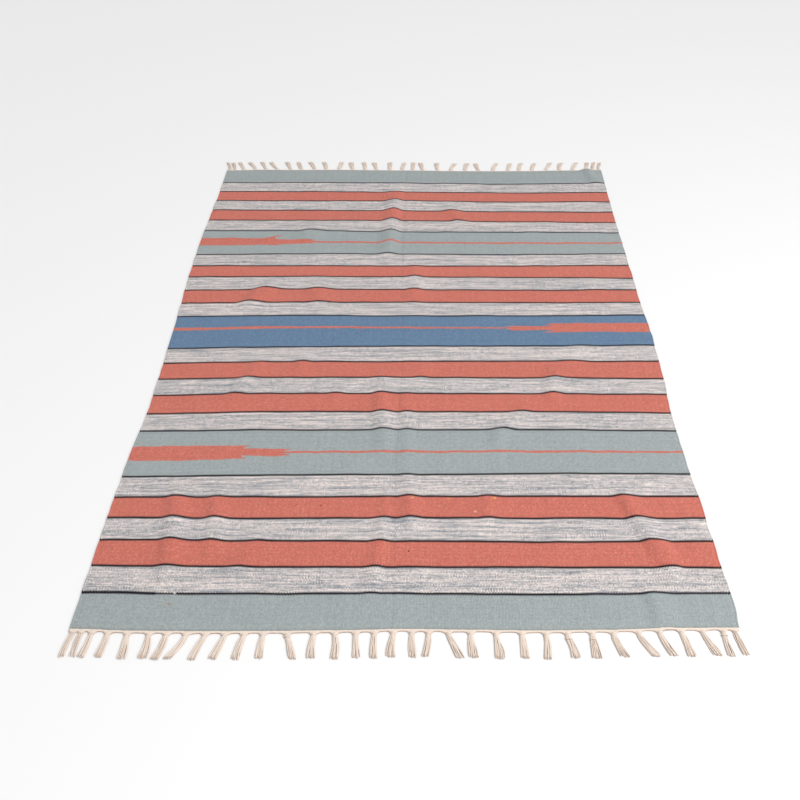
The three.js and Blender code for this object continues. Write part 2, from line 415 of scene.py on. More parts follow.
# The stage. Places are in metres.
FLOOR_HALF = 7000
KEY_PLACE = (0.5, 0.22, 0.83)
KEY_SPREAD = math.radians(25)
SOFTBOX_PLACE = (2.4, -2.2, 2.3)
SOFTBOX_TARGET = (0.2, -0.4, 0)
SOFTBOX_SIDE = 1.6  # metres
CAMERA_PLACE = (0.0376, -1.961, 1.431)
SENSOR = 36
LENS_SHIFT = -0.0309


def linear(code):
    """An sRGB hex colour as linear red, green and blue."""
    shares = [int(code[i : i + 2], 16) / 255 for i in (1, 3, 5)]
    return tuple(c / 12.92 if c <= 0.04045 else ((c + 0.055) / 1.055) ** 2.4 for c in shares)


def colour_setting(name, code, description):
    """A colour that a user may change."""
    return FloatVectorProperty(
        name=name, description=description, subtype="COLOR", size=3, min=0, max=1, default=linear(code)
    )


def length_setting(name, millimetres, description, low=0):
    """A length that a user may change."""
    return FloatProperty(
        name=name,
        description=description,
        default=millimetres * MM,
        min=low * MM,
        unit="LENGTH",
        precision=5,
    )


class ClothSettings(bpy.types.PropertyGroup):
    """Sizes and yarn colours of the woven cloth."""

    warp: length_setting("Warp spacing", 2.6, "Distance between neighbouring warps, each a rib", low=1)
    wander: length_setting("Wander", 0.4, "How far the rows of weft stray from smooth lines")
    cockle: length_setting("Cockle", 0.5, "Height of the small waves that keep the cloth from lying flat")
    sage: colour_setting("Sage", "#a0a8a8", "Weft of the end bands and two wide bands")
    pale: colour_setting("Heather, pale ply", "#ede0da", "Lighter yarn of the heather stripes")
    slate: colour_setting("Heather, slate ply", "#7c8690", "Darker yarn of the heather stripes")
    coral: colour_setting("Coral", "#cc7162", "Weft of the coral stripes and stepped bars")
    blue: colour_setting("Blue", "#637f9d", "Weft of the middle wide band")
    black: colour_setting("Black", "#17141c", "Weft of the thin lines between the stripes")


class FringeSettings(bpy.types.PropertyGroup):
    """Sizes and colour of the bare warps at the rug's ends."""

    thickness: length_setting("Warp thickness", 2.0, "Diameter of one bare warp", low=0.5)
    neck: length_setting("Neck", 11, "Distance from the cloth's end to where a tassel is narrowest", low=8)
    steps: IntProperty(name="Steps", description="Segments of a warp, neck to tip", default=8, min=3)
    cream: colour_setting("Cream", "#eadbce", "Undyed cotton of the warps")
    # Tan is the colour of the painted shade on the warps: their grooves, sides and undersides
    tan: colour_setting("Tan", "#ad8468", "The same cotton deep between its plies")


class StageSettings(bpy.types.PropertyGroup):
    """The camera, floor and studio light."""

    tilt: FloatProperty(
        name="Camera tilt",
        description="Angle that the camera is turned up from looking straight down",
        default=math.radians(50.06),
        subtype="ANGLE",
    )
    lens: FloatProperty(
        name="Lens",
        description="Focal length for a sensor 36 mm wide",
        default=43.26,
        min=10,
        unit="CAMERA",
    )
    floor: colour_setting("Floor", "#f6f6f6", "Pale matt floor")
    sky: FloatProperty(
        name="Fill light", description="Brightness of the even light all round", default=0.6, min=0
    )
    key: FloatProperty(
        name="Key light", description="Strength of the wide soft light from the right", default=0.95, min=0
    )
    softbox: FloatProperty(
        name="Softbox",
        description="Power of the large soft light in front of the rug",
        default=55,
        min=0,
        unit="POWER",
    )


class RugSettings(bpy.types.PropertyGroup):
    """Everything that a user would change on the rug."""

    cloth: PointerProperty(type=ClothSettings)
    fringe: PointerProperty(type=FringeSettings)
    stage: PointerProperty(type=StageSettings)


def between_rows(table, column, at):
    """A column of a table at places between its rows, along the same smooth curve as the CAD model's."""
    places = table[:, 0]
    row = np.clip(np.searchsorted(places, at), 1, len(places) - 1)
    share = np.clip((at - places[row - 1]) / (places[row] - places[row - 1]), 0, 1)
    share = share * share * (3 - 2 * share)
    return table[row - 1, column] * (1 - share) + table[row, column] * share


def plan(across, along):
    """Where a woven place lies on the floor, with the rug's uneven outline."""
    left = -WIDTH / 2 - between_rows(SELVEDGES, 1, along)
    right = WIDTH / 2 + between_rows(SELVEDGES, 2, along)
    x = left + (right - left) * across / WIDTH
    near = between_rows(ENDS, 1, across) * np.clip(1 - along / END_BAND, 0, 1)
    far = between_rows(ENDS, 2, across) * np.clip(1 - (LENGTH - along) / END_BAND, 0, 1)
    return x, along - LENGTH / 2 - near + far


def bow(across, along):
    """How far a row of weft lies beyond its straight line."""
    spans = BOWS.shape[1] - 2
    places = np.clip(across / WIDTH * spans, 0, spans)
    total = np.zeros_like(across)
    for column in range(spans + 1):
        share = np.clip(1 - np.abs(places - column), 0, 1)
        total += share * share * (3 - 2 * share) * between_rows(BOWS, column + 1, along)
    return total


def ridge_height(x, y):
    """Height of the cloth's underside over the floor."""
    height = np.zeros_like(x)
    for start_x, start_y, end_x, end_y, reach_left, reach_right, rise in RIDGES:
        run = math.hypot(end_x - start_x, end_y - start_y)
        unit_x = (end_x - start_x) / run
        unit_y = (end_y - start_y) / run
        share = ((x - start_x) * unit_x + (y - start_y) * unit_y) / run
        aside = (x - start_x) * abs(unit_y) - (y - start_y) * unit_x * np.sign(unit_y)
        reach = np.where(aside < 0, reach_left, reach_right)
        crown = np.cos(np.clip(np.abs(aside) / reach, 0, 1) * math.pi / 2) ** 2
        taper = np.minimum(1, np.sin(np.clip(share, 0, 1) * math.pi) * RIDGE_ENDS)
        height += rise * crown * taper
    return height


def unevenness(x, y, shortest, longest, seed):
    """Smooth seeded waves in all directions, that spread about one to either side of nought."""
    random = np.random.default_rng(seed)
    total = np.zeros_like(x)
    for _ in range(WAVES):
        turn, phase = random.uniform(0, 2 * math.pi, 2)
        length = random.uniform(shortest, longest)
        total += np.sin((x * math.cos(turn) + y * math.sin(turn)) * 2 * math.pi / length + phase)
    return total / math.sqrt(WAVES / 2)


def make_piece(name, points, faces, material):
    """A smooth mesh object from points in millimetres."""
    mesh = bpy.data.meshes.new(name)
    mesh.from_pydata(np.asarray(points) * MM, [], faces)
    mesh.validate()
    mesh.shade_smooth()
    mesh.materials.append(material)
    piece = bpy.data.objects.new(name, mesh)
    bpy.context.scene.collection.objects.link(piece)
    return piece


def ring_quads(numbers):
    """The faces between rings of points, from their numbers, with a row for each ring."""
    after = np.roll(numbers, -1, axis=1)
    return np.stack([numbers[:-1], after[:-1], after[1:], numbers[1:]], axis=-1)


def add_attribute(piece, name, domain, values):
    """Stores three numbers for each point, face or corner of a piece, for its material to read."""
    attribute = piece.data.attributes.new(name, "FLOAT_VECTOR", domain)
    attribute.data.foreach_set("vector", np.asarray(values, np.float32).ravel())


def add_node(tree, kind, *inputs, by_name=None, **settings):
    """Adds a node with its settings, sets or links its inputs, in their order or by name, and returns
    its first output in use."""
    made = tree.nodes.new("ShaderNode" + kind)
    for name, value in settings.items():
        setattr(made, name, value)
    sockets = [socket for socket in made.inputs if socket.enabled]
    pairs = list(zip(sockets, inputs))
    for name, value in (by_name or {}).items():
        pairs.append((next(socket for socket in sockets if socket.name == name), value))
    for socket, value in pairs:
        if isinstance(value, bpy.types.NodeSocket):
            tree.links.new(value, socket)
        else:
            socket.default_value = value
    return next((socket for socket in made.outputs if socket.enabled), None)


def new_material(name):
    """An empty material, and add_node for its tree."""
    material = bpy.data.materials.new(name)
    material.use_nodes = True
    material.node_tree.nodes.clear()
    return material, partial(add_node, material.node_tree)


def uneven(add, place, size, detail):
    """Soft clouds from 0 to 1 over a place, each as large as a size given for each of its axes."""
    clouds = add("VectorMath", place, (*size, 1), operation="DIVIDE")
    return add("TexNoise", clouds, 1.0, detail, noise_dimensions="2D")


def weave_places(add, settings):
    """Where a point lies in the weave: its warp and pick, and how high it stands on its bead."""
    woven = add("Attribute", attribute_name="woven").node.outputs["Vector"]
    parts = add("SeparateXYZ", woven).node.outputs
    across, along = parts["X"], parts["Y"]
    warps = add("Math", across, settings.warp / MM, operation="DIVIDE")
    warp = add("Math", warps, operation="FLOOR")
    odd = add("Math", warp, 2.0, operation="FLOORED_MODULO")

    # A bead is two picks long, and on every second warp it starts one pick later
    shifted = add("Math", odd, PICK, along, operation="MULTIPLY_ADD")
    beads = add("Math", shifted, 2 * PICK, operation="DIVIDE")
    bead = add("Math", beads, operation="FLOOR")
    doubled = add("Math", bead, 2.0, operation="MULTIPLY")
    pick = add("Math", doubled, odd, operation="SUBTRACT")
    centre = add("Math", pick, PICK, PICK, operation="MULTIPLY_ADD")

    # Each bead is rounded across and along
    across_bead = add("Math", add("Math", warps, operation="FRACT"), math.pi, operation="MULTIPLY")
    along_bead = add("Math", add("Math", beads, operation="FRACT"), math.pi, operation="MULTIPLY")
    ribbed = add("Math", across_bead, operation="SINE")
    beaded = add("Math", along_bead, operation="SINE")
    relief = add("Math", add("Math", ribbed, beaded, operation="MULTIPLY"), 0.5, operation="POWER")
    return SimpleNamespace(
        woven=woven,
        across=across,
        stepped=add("Math", odd, LINE_STEP, along, operation="MULTIPLY_ADD"),
        warp=warp,
        pick=pick,
        centre=centre,
        relief=relief,
        by_pick=add("CombineXYZ", across, pick),
        by_bead=add("CombineXYZ", warp, pick),
    )


def heather_yarn(add, weave, settings):
    """A pale and a slate ply spun together: dashes 20 to 60 mm long and specks 3 to 8 mm long, pick by
    pick, in greyer and paler bands a few picks deep."""
    dashes = uneven(add, weave.by_pick, DASHES, 1.0)
    specks = uneven(add, weave.by_pick, SPECKS, 1.0)
    bands = uneven(add, weave.woven, BANDS, 2.0)
    greyer = add("Math", specks, 0.4, operation="MULTIPLY")
    greyer = add("Math", dashes, 0.44, greyer, operation="MULTIPLY_ADD")
    greyer = add("Math", bands, 0.27, greyer, operation="MULTIPLY_ADD")
    share = add("MapRange", greyer, 0.425, 0.705, 0.0, 0.95)
    return add("Mix", share, (*settings.pale, 1), (*settings.slate, 1), data_type="RGBA")


def between(add, place, start, end):
    """One where a place lies between two others, and nought elsewhere."""
    return add("Math", place, (start + end) / 2, (end - start) / 2, operation="COMPARE")


def inside_bars(add, weave):
    """One where a pick's middle lies inside a stepped bar, and nought elsewhere."""
    waver = uneven(add, weave.woven, WAVER, 1.0)
    strayed = add("Math", waver, BAR_WAVER, -BAR_WAVER / 2, operation="MULTIPLY_ADD")
    centre = add("Math", weave.centre, strayed, operation="ADD")
    barred = None
    for start, end, middle, end_middle, half, end_half in BARS:
        if middle != end_middle:
            middle = add("MapRange", weave.across, start, end, middle, end_middle)
        if half != end_half:
            half = add("MapRange", weave.across, start, end, half, end_half)
        inside = add("Math", centre, middle, half, operation="COMPARE")
        inside = add("Math", inside, between(add, weave.across, start, end), operation="MULTIPLY")
        barred = inside if barred is None else add("Math", barred, inside, operation="MAXIMUM")
    return barred


def inside_lines(add, weave, line):
    """One on the black line nearest to a point, nought elsewhere. The first line has its faults."""
    depth = LINE
    is_first = add("Math", line, float(STRIPES[0][0]), 0.5, operation="COMPARE")
    for start, end, half in LINE_FAULTS:
        faulty = add("Math", is_first, between(add, weave.across, start, end), operation="MULTIPLY")
        depth = add("Math", faulty, half - LINE, depth, operation="MULTIPLY_ADD")
    middle = add("Math", line, LINE_STEP / 2, operation="ADD")
    return add("Math", weave.stepped, middle, depth, operation="COMPARE")


def weft_colour(add, weave, settings):
    """The colour of the yarn that shows at a point: its stripe's, coral in a stepped bar, black on a
    line, or a tuft's."""
    stripe = add("Attribute", attribute_name="stripe").node.outputs["Vector"]
    parts = add("SeparateXYZ", stripe).node.outputs
    line, yarn = parts["X"], parts["Y"]

    # The dye took unevenly, so each plain yarn has paler flecks 2 to 5 mm long
    flecks = uneven(add, weave.by_pick, FLECKS, 1.0)
    fleck = add("MapRange", flecks, 0.52, 0.75, 0.0, 0.45)
    plain = {}
    for number, dyed, paler in (
        (SAGE, settings.sage, "#b4bcc2"),
        (CORAL, settings.coral, "#e2a08e"),
        (BLUE, settings.blue, "#8a9fb8"),
    ):
        plain[number] = add("Mix", fleck, (*dyed, 1), (*linear(paler), 1), data_type="RGBA")

    is_heather = add("Math", yarn, HEATHER, SAME, operation="COMPARE")
    is_coral = add("Math", yarn, CORAL, SAME, operation="COMPARE")
    is_coral = add("Math", is_coral, inside_bars(add, weave), operation="MAXIMUM")
    is_blue = add("Math", yarn, BLUE, SAME, operation="COMPARE")
    heather = heather_yarn(add, weave, settings)
    colour = add("Mix", is_heather, plain[SAGE], heather, data_type="RGBA")
    colour = add("Mix", is_blue, colour, plain[BLUE], data_type="RGBA")
    colour = add("Mix", is_coral, colour, plain[CORAL], data_type="RGBA")
    for across, along, half, code in TUFTS:
        distance = add("VectorMath", weave.woven, (across, along, 0), operation="DISTANCE")
        tufted = add("Math", distance.node.outputs["Value"], half, operation="LESS_THAN")
        colour = add("Mix", tufted, colour, (*linear(code), 1), data_type="RGBA")
    lined = inside_lines(add, weave, line)
    return add("Mix", lined, colour, (*settings.black, 1), data_type="RGBA")


def weft_tone_and_painted_shade(add, weave):
    """How light the yarn is. Picks, warps and beads each differ a little from the next, and so do patches
    of the cloth.
    On top of that, painted shade darkens the fold line and the gaps between the beads, and the beads' tops
    get a touch of painted light."""
    own_pick = add("TexWhiteNoise", weave.pick, noise_dimensions="1D")
    own_warp = add("TexWhiteNoise", weave.warp, noise_dimensions="1D")
    own_bead = add("TexWhiteNoise", weave.by_bead, noise_dimensions="2D")
    shades = (
        (own_pick, 0.08),
        (own_warp, 0.05),
        (own_bead, 0.2),
        (uneven(add, weave.woven, CLOUDS, 3.0), 0.06),
        (uneven(add, weave.woven, MOTTLE, 3.0), 0.16),
    )
    light = 0.74
    for own, depth in shades:
        light = add("Math", own, depth, light, operation="MULTIPLY_ADD")

    # Painted shade: a faint darker line along the fold line, and darker gaps between the beads, with a
    # little painted light on the beads' tops
    painted_fold_shade = add("Math", weave.across, float(CREASE), CREASE_HALF, operation="COMPARE")
    light = add("Math", painted_fold_shade, -0.06, light, operation="MULTIPLY_ADD")
    shade = add("MapRange", weave.relief, 0.0, 0.8, 0.78, 1.04)
    return add("Math", light, shade, operation="MULTIPLY")


def woven_cotton(settings):
    """Cotton weft beaten over cotton warps by hand. The weft hides the warps, so the eye gets matt ribs
    along the rug, one for each warp, broken into small beads where the weft goes over and under."""
    material, add = new_material("Hand-woven cotton, weft-faced")
    weave = weave_places(add, settings)
    colour = weft_colour(add, weave, settings)
    # The yarn's colour, times its tone and its painted shade
    colour = add("VectorMath", colour, weft_tone_and_painted_shade(add, weave), operation="SCALE")
    relief = {"Strength": 0.7, "Distance": 0.5 * MM, "Height": weave.relief}
    finish = {
        "Base Color": colour,
        "Roughness": 0.92,
        "IOR": 1.45,
        "Specular IOR Level": 0.25,
        "Sheen Weight": 0.08,
        "Sheen Roughness": 0.5,
        "Normal": add("Bump", by_name=relief),
    }
    add("OutputMaterial", add("BsdfPrincipled", by_name=finish))
    return material


def plied_cotton(settings):
    """Undyed cotton warp, two plies twisted together. Loose fibres keep it matt, and the eye gets a soft
    cream cord with slanting grooves. Tan painted shade darkens the grooves where the plies meet and the
    cord's sides and underside, where cords lie side by side, more or less as a random mottle has it."""
    material, add = new_material("Undyed plied cotton warp")

    # Turns round the warp from its side, millimetres along it, and a number of its own
    ply = add("Attribute", attribute_name="ply").node.outputs["Vector"]
    parts = add("SeparateXYZ", ply).node.outputs
    around, along = parts["X"], parts["Y"]

    # Two plies give two grooves for each turn of the twist
    turns = add("Math", along, 2 / TWIST, operation="MULTIPLY")
    wound = add("Math", around, 2.0, turns, operation="MULTIPLY_ADD")
    wave = add("Math", add("Math", wound, math.pi, operation="MULTIPLY"), operation="SINE")
    groove = add("Math", wave, operation="ABSOLUTE")

    # Painted shade: the top of a cord stays cream, and its sides, its underside and the grooves between
    # its plies turn tan, more or less as a random mottle has it
    aside = add("Math", around, TOP_TURN, operation="SUBTRACT")
    unshaded = add("Math", add("Math", aside, 2 * math.pi, operation="MULTIPLY"), operation="COSINE")
    mottle = add("TexNoise", add("VectorMath", ply, PLY_MOTTLE, operation="DIVIDE"), 1.0, 2.0)
    grooved = add("Math", groove, 0.3, operation="MULTIPLY")
    unshaded = add("Math", unshaded, 0.6, grooved, operation="MULTIPLY_ADD")
    unshaded = add("Math", mottle, 0.5, unshaded, operation="MULTIPLY_ADD")
    painted_shade_share = add("MapRange", unshaded, 0.25, 0.8, 0.85, 0.0)
    relief = {"Strength": 0.6, "Distance": 0.3 * MM, "Height": groove}
    finish = {
        # The cream cotton, mixed with tan where painted shade falls
        "Base Color": add("Mix", painted_shade_share, (*settings.cream, 1), (*settings.tan, 1), data_type="RGBA"),
        "Roughness": 0.9,
        "IOR": 1.45,
        "Specular IOR Level": 0.25,
        "Sheen Weight": 0.1,
        "Sheen Roughness": 0.5,
        "Normal": add("Bump", by_name=relief),
    }
    add("OutputMaterial", add("BsdfPrincipled", by_name=finish))
    return material


def matt_floor(settings):
    """Matt paint, rolled on. The eye gets a plain pale floor whose sheen alone is a little uneven."""
    material, add = new_material("Matt painted floor")
    place = add("TexCoord").node.outputs["Object"]
    patches = add("TexNoise", place, 3.0, 2.0)
    finish = {
        "Base Color": (*settings.floor, 1),
        "Roughness": add("MapRange", patches, 0.0, 1.0, 0.75, 0.9),
        "Specular IOR Level": 0.1,
    }
    add("OutputMaterial", add("BsdfPrincipled", by_name=finish))
    return material


def steps_between(start, end, step):
    """Even places from one to another, without the last."""
    count = max(1, math.ceil((end - start) / step))
    return list(np.linspace(start, end, count, endpoint=False))


def cloth_places():
    """Places of the cloth's mesh across and along, and for each row of faces its line and its yarn."""
    roll = SELVEDGE_ROLL[:, 0]
    across = [*roll[:-1], *steps_between(roll[-1], CREASE, STEP)]
    across += steps_between(CREASE, WIDTH - roll[-1], STEP)
    across += [WIDTH - place for place in roll[::-1]]
    along, bands, start = [], [], 0
    for end, yarn, _ in STRIPES:
        middle = (start + end) / 2
        if start == 0:
            parts = [(start, end, end)]
        elif end == LENGTH:
            parts = [(start, end, start)]
        else:
            parts = [(start, middle, start), (middle, end, end)]
        for low, high, line in parts:
            rows = steps_between(low, high, STEP)
            along += rows
            bands += [(line, yarn, 0)] * len(rows)
        start = end
    along.append(LENGTH)
    return np.array(across, float), np.array(along, float), bands


def cloth_points(across, along, settings):
    """The upper face and the underside, each a grid of points with a row for each place along."""
    over, down = np.meshgrid(across, along)
    x, y = plan(over, down)
    inset = np.minimum(over, WIDTH - over)
    from_end = np.minimum(down, LENGTH - down)
    settled = np.clip(from_end / SETTLED, 0, 1)
    y = y + bow(over, down) + settings.wander / MM * unevenness(x, y, *WANDER_WAVES) * settled
    scallop = unevenness(np.where(over < WIDTH / 2, 0, OTHER_SELVEDGE), down, *SCALLOP_WAVES)
    x = x + SCALLOP * scallop * settled * np.clip(1 - inset / SCALLOP_REACH, 0, 1)
    wave = unevenness(x, y, *COCKLE_WAVES)
    cockle = settings.cockle / MM * np.clip(wave + COCKLE_LEVEL, 0, COCKLE_TOP) * settled
    beside = np.abs(over - CREASE)
    fold = FOLD_RISE * np.clip(beside / FOLD_HALF, 0, 1)
    fold = fold * np.clip(1 - (beside - FOLD_HALF) / FOLD_REACH, 0, 1)
    base = ridge_height(x, y) + (cockle + fold * settled) * np.clip(inset / COCKLE_INSET, 0, 1)
    rolls = [np.interp(inset, SELVEDGE_ROLL[:, 0], SELVEDGE_ROLL[:, face]) for face in (1, 2)]
    return [np.stack([x, y, base + roll], axis=-1) for roll in rolls]


def cloth_faces(numbers, columns):
    """The faces round the cloth, from the numbers of its rings, and those that close its ends."""
    rows, around = numbers.shape
    below = [0, *range(around - 1, columns - 1, -1), columns - 1]
    ends = []
    for row, step in ((0, 1), (rows - 1, -1)):
        for c in range(columns - 1):
            corners = [numbers[row, c], numbers[row, below[c]]]
            corners += [numbers[row, below[c + 1]], numbers[row, c + 1]]
            ends.append([int(n) for n in dict.fromkeys(corners)][::step])
    return ring_quads(numbers).reshape(-1, 4).tolist(), ends


def within(part, share):
    """A place on the flat map, a share of the way through a part of it."""
    start, depth = part
    return start + depth * share


def lay_out_for_bake(piece, places, columns, around, count):
    """A flat map named OFBake: the upper face takes most of it, the underside and ends thin strips."""
    mesh = piece.data
    corners = np.zeros(len(mesh.loops), int)
    mesh.loops.foreach_get("vertex_index", corners)
    across, along = (places[corners] / (WIDTH, LENGTH, 1)).T[:2]
    face = np.repeat(np.arange(len(mesh.polygons)), [p.loop_total for p in mesh.polygons])
    is_ring = face < count
    is_upper = is_ring & (face % around < columns - 1)
    is_near = face < count + columns - 1
    is_top = corners % around < columns
    over = np.where(is_ring & ~is_upper, along, across)
    ends = np.where(is_near, within(MAP_NEAR_END, is_top), within(MAP_FAR_END, is_top))
    faces = np.where(is_upper, within(MAP_UPPER, along), within(MAP_UNDER, across))
    flat = np.stack([within(MAP_ACROSS, over), np.where(is_ring, faces, ends)], axis=-1)
    layer = mesh.uv_layers.new(name="OFBake")
    layer.data.foreach_set("uv", flat.astype(np.float32).ravel())


class RUG_OT_woven_cloth(bpy.types.Operator):
    """Weave the striped cloth, with its ridges, fold line and rolled selvedges"""

    bl_idname = "rug.woven_cloth"
    bl_label = "Woven cloth"

    def execute(self, context):
        settings = context.scene.rug.cloth
        across, along, bands = cloth_places()
        upper, under = cloth_points(across, along, settings)
        columns, rows = len(across), len(along)

        # Each row is one ring: the upper face left to right, then the underside back
        ring = np.concatenate([upper, under[:, -2:0:-1]], axis=1)
        around = ring.shape[1]
        quads, ends = cloth_faces(np.arange(rows * around).reshape(rows, around), columns)
        piece = make_piece("woven_cloth_looks", ring.reshape(-1, 3), quads + ends, woven_cotton(settings))

        ring_across = np.concatenate([across, across[-2:0:-1]])
        places = np.stack(np.broadcast_arrays(ring_across, along[:, None], 0.0), axis=-1).reshape(-1, 3)
        add_attribute(piece, "woven", "POINT", places)
        by_face = np.repeat(np.array(bands, float), around, axis=0).tolist()
        by_face += [bands[0]] * (columns - 1) + [bands[-1]] * (columns - 1)
        add_attribute(piece, "stripe", "FACE", by_face)
        lay_out_for_bake(piece, places, columns, around, len(quads))

        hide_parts("woven_cloth")
        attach(piece, "root")
        return {"FINISHED"}


def beyond_end(side, across, out):
    """Where a place lies a distance out from the rug's near end, if side is -1, or its far end, if it is
    1: x, y, and the height of the cloth's end over the floor."""
    across = np.asarray(across, float)
    x, y = plan(across, np.full_like(across, 0 if side < 0 else LENGTH))
    return x, y + side * out, ridge_height(x, y)


def strip_depth(across, tassels):
    """How much of its extra depth the strip has: it rounds into each tassel, more gently on the side
    that the tassel leans away from."""
    depth = np.zeros_like(across)
    for at, lean, _ in tassels:
        beside = across - at
        corner = CORNER + np.maximum(0, -np.sign(beside) * lean) * CORNER_LEAN
        depth = np.maximum(depth, np.clip(1 - (np.abs(beside) - CORNER_HALF) / corner, 0, 1) ** 2)
    return depth


def heading_rings(across, side, tassels):
    """The rings of points of one end's strip, with a row for each place across."""
    level = np.zeros_like(across)
    swell = 1 + HEADING_SWELL * unevenness(across, level, *SWELL_WAVES, SWELL_SEED + side)
    swell += CORNER_SWELL * strip_depth(across, tassels)
    knots = KNOT_RISE * np.sin(across * 2 * math.pi / KNOT_SPACING)
    knots += KNOT_RISE * unevenness(across, level, *KNOT_WAVES, KNOT_SEED + side)
    ring = []
    for out, height, _ in HEADING_RIM:
        x, y, lift = beyond_end(side, across, out * swell)
        bump = knots * np.clip(height - 1, 0, 1)
        ring.append(np.stack([x, y, lift + height + bump], axis=-1))
    return np.stack(ring, axis=1)


class RUG_OT_headings(bpy.types.Operator):
    """Close each end of the cloth with a strip of warps knotted over each other"""

    bl_idname = "rug.headings"
    bl_label = "Headings"

    def execute(self, context):
        settings = context.scene.rug.fringe
        material = plied_cotton(settings)
        across = np.linspace(FRINGE_INSET, WIDTH - FRINGE_INSET, HEADING_PLACES)
        turns = np.array([turn for _, _, turn in HEADING_RIM])
        for name, side, tassels, _ in FRINGES:
            ring = heading_rings(across, side, tassels)
            count, around = ring.shape[:2]
            numbers = np.arange(count * around).reshape(count, around)
            faces = ring_quads(numbers)[..., ::side].reshape(-1, 4).tolist()
            faces.append(numbers[0][:: -side].tolist())
            faces.append(numbers[-1][::side].tolist())
            piece = make_piece(f"{name}_heading", ring.reshape(-1, 3), faces, material)
            ply = np.stack(np.broadcast_arrays(turns, across[:, None], HEADING_PLY + side), axis=-1)
            add_attribute(piece, "ply", "POINT", ply.reshape(-1, 3))
            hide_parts(f"{name}_fringe")
            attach(piece, "root")
        return {"FINISHED"}


def leaned(lean, down):
    """Sideways drift of a tassel's middle, at shares of the way from its neck to its tip."""
    return lean * (NECK_LEAN + (1 - NECK_LEAN) * down**LEAN_CURVE)


def gathered(row, share, layer, neck):
    """A warp's way from inside the strip to the tassel's neck, on a curve pulled by four points."""
    at, lean, _ = row
    side = 1 if share >= 0 else -1
    root = ROOT_HALF + ROOT_LEAN * max(0, -side * lean)
    crown = NECK_CROWN * (1 - share * share)
    pulls = np.array([
        (at + share * root, 3, 1.6 + layer * 0.4),
        (at + share * root * 0.72, 5.6, 1.8 + layer * 0.5),
        (at + share * 4.6, 7.8, 1.4 + layer * 1),
        (at + share * NECK_HALF + leaned(lean, 0), neck, 1.1 + crown * (0.35 + 0.65 * layer)),
    ])
    t = np.linspace(0, 1, GATHER_POINTS)
    weights = np.stack([(1 - t) ** 3, 3 * t * (1 - t) ** 2, 3 * t * t * (1 - t), t**3], axis=-1)
    return weights @ pulls


def hanging(row, share, layer, start, reach, bend, clump, settings, random):
    """A warp's way from its height at the neck to its cut tip, where it rests on the floor."""
    at, lean, fan = row
    neck = settings.neck / MM
    tip = reach - CUT_SLANT * abs(share - LONGEST_SHARE) - abs(random.normal(0, CUT_RAGGED))
    down = np.linspace(0, 1, settings.steps + 1)[1:]
    spread = NECK_HALF + (fan * random.uniform(*FAN_SPREAD) - NECK_HALF) * down**FAN_CURVE
    clumped = share + CLUMPING * math.sin(share * CLUMP_TURNS + clump) * down
    across = at + clumped * spread + leaned(lean, down) + bend * np.sin(down * math.pi)
    waver = random.normal(0, WARP_WAVER)
    across = across + waver * np.sin(down * math.pi * random.uniform(*WAVER_TURNS))
    lift = LOW_REST + LAYER_REST * layer * random.uniform(*LAYER_SPREAD)
    rest = settings.thickness / MM * lift
    height = start + (rest - start) * np.clip(down * FALL, 0, 1) ** FALL_CURVE
    return np.stack([across, neck + (tip - neck) * down, height], axis=-1)


def bunch(side, row, low, high, reach, settings, random):
    """The warps of one tassel: each a line of points, from inside the strip through the neck to a cut
    tip on the floor."""
    neck = settings.neck / MM
    count = max(FEWEST_WARPS, round((high - low) / WARP_SPACING))
    bend = random.uniform(-BEND, BEND)
    clump = random.uniform(0, 2 * math.pi)
    lines = []
    for number in range(count):
        share = (number + 0.5) / count * 2 - 1
        layer = number % 2
        top = gathered(row, share, layer, neck)
        tail = hanging(row, share, layer, top[-1, 2], reach, bend, clump, settings, random)
        path = np.concatenate([top, tail])
        x, y, lift = beyond_end(side, path[:, 0], path[:, 1])
        flat = np.clip(path[:, 1] / neck, 0, 1)
        lines.append(np.stack([x, y, path[:, 2] + lift * (1 - flat)], axis=-1))
    return lines


def tie(side, row, out, radius, reach, settings, random):
    """One warp wound round a tassel, pulled a little aslant."""
    neck = settings.neck / MM
    down = max(0, (out - neck) / (reach - neck))
    turns = np.linspace(0, TIE_TURNS * math.pi * 2, TIE_POINTS)
    across = row[0] + leaned(row[1], down) + radius * np.cos(turns)
    rise = TIE_HEIGHT + radius * 0.5 * np.sin(turns)
    out = out + (turns / turns[-1] - 0.5) * TIE_PITCH + random.uniform(*TIE_SLANT) * np.cos(turns)
    x, y, _ = beyond_end(side, across, out)
    return np.stack([x, y, np.maximum(rise, settings.thickness / MM * 0.5)], axis=-1)


def tube_rings(line, radius, sides):
    """The rings of points of one tube, each starting at its side and turning over its top."""
    turn = np.linspace(0, 2 * math.pi, sides, endpoint=False)
    ahead = np.gradient(line, axis=0)
    ahead /= np.linalg.norm(ahead, axis=1, keepdims=True)
    beside = np.cross(ahead, (0, 0, 1))
    beside /= np.maximum(np.linalg.norm(beside, axis=1, keepdims=True), 1e-6)
    above = np.cross(beside, ahead)
    thick = np.full(len(line), radius)
    thick[-1] *= TIP_SHARE
    return line[:, None] + thick[:, None, None] * (
        np.cos(turn)[None, :, None] * beside[:, None] + np.sin(turn)[None, :, None] * above[:, None]
    )


def tube_plies(line, sides, own):
    """For each corner of one tube: its turn round the warp, its place along it, and the warp's number."""
    run = np.concatenate([[0], np.cumsum(np.linalg.norm(np.diff(line, axis=0), axis=1))])
    start, side = np.meshgrid(np.arange(len(line) - 1), np.arange(sides), indexing="ij")
    share = np.stack([side, side + 1, side + 1, side], axis=-1) / sides
    length = np.stack([run[start], run[start], run[start + 1], run[start + 1]], axis=-1)
    round_it = np.stack([share, length, np.full_like(length, own)], axis=-1).reshape(-1, 3)
    caps = [np.tile([TOP_TURN, place, own], (sides, 1)) for place in (run[0], run[-1])]
    return np.concatenate([round_it, *caps])


